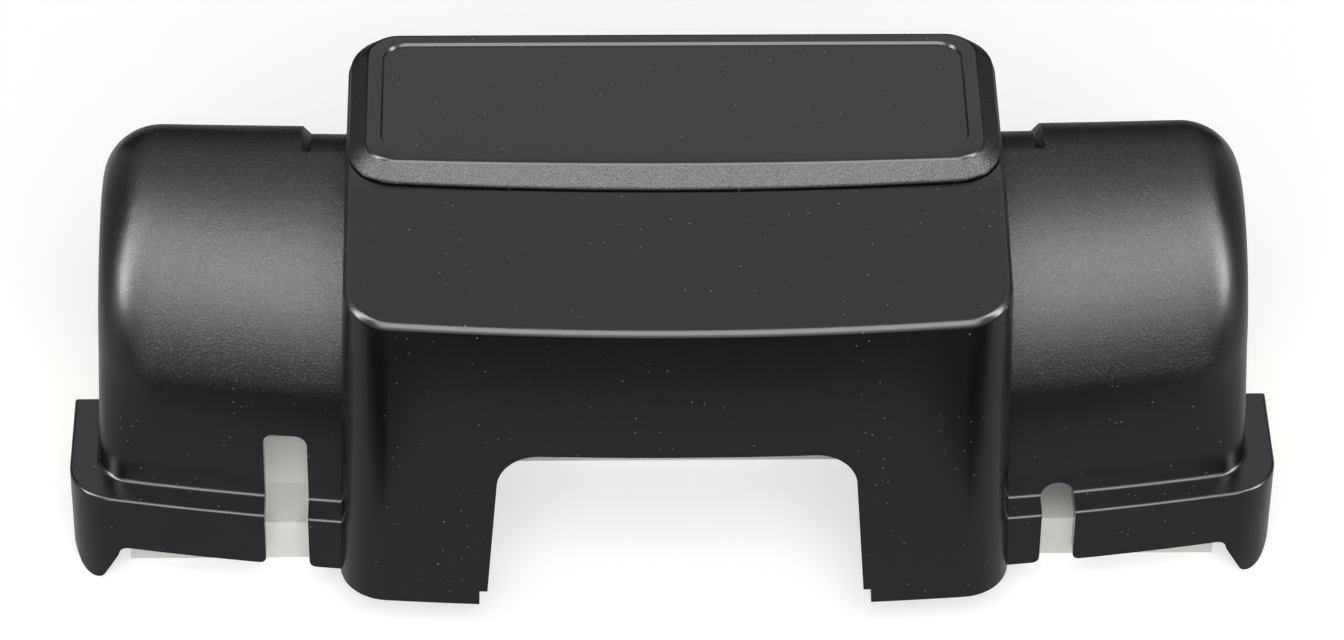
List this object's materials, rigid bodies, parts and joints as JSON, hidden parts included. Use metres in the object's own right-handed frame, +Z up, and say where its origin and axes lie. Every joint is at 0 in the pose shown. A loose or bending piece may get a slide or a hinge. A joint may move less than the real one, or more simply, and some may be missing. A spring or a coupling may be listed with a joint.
{
  "type": "battery monitor shunt",
  "caption": "Battery monitor shunt under a lift-off black moulded cover with round end hoods, a raised centre block, a front cable notch, wire slots and hooked corner feet.",
  "frame": {"origin": "middle of the footprint on the mounting surface, on which the base and the cover's feet stand", "axes": "+X along the bar to the right of someone facing the cable notch, -Y out of the front with the notch, +Z up"},
  "size_m": [0.125, 0.0478, 0.0469],
  "materials": {
    "cover_black": "grained satin black moulding",
    "base_white": "smooth natural white moulding",
    "brass": "milled brass with fine saw marks",
    "manganin": "drawn brown resistance alloy",
    "steel": "bright zinc-plated steel",
    "spring_steel": "dark plated spring steel",
    "board_green": "green solder resist on glass-fibre board",
    "chip_black": "black moulding compound",
    "can_silver": "drawn can",
    "ferrite": "dark pressed ferrite",
    "socket_cream": "off-white nylon",
    "tinned_pin": "tinned brass wire",
    "terminal_green": "green nylon",
    "led_lens": "clear lens on a white body"
  },
  "bodies": {
    "shunt": {"base": "base_white", "battery_block": "brass", "load_block": "brass", "resistor_blades": "manganin", "terminal_bolts": "steel", "spring_washers": "spring_steel", "flat_washers": "steel", "block_screws": "steel", "board_standoffs": "brass", "board_screws": "steel", "circuit_board": "board_green", "controller_chip": "chip_black", "amplifier_chip": "chip_black", "radio_board": "board_green", "radio_shield": "can_silver", "crystal": "can_silver", "inductor": "ferrite", "capacitors": "can_silver", "diode": "chip_black", "chip_parts": "chip_black", "data_socket": "socket_cream", "data_pins": "tinned_pin", "wire_terminals": "terminal_green", "clamp_screws": "steel", "status_led": "led_lens"},
    "cover": {"cover": "cover_black"}
  },
  "joints": [
    {"name": "cover_lift", "type": "slide", "parent": "shunt", "child": "cover", "axis": [0, 0, 1], "range_m": [0, 0.06]}
  ]
}
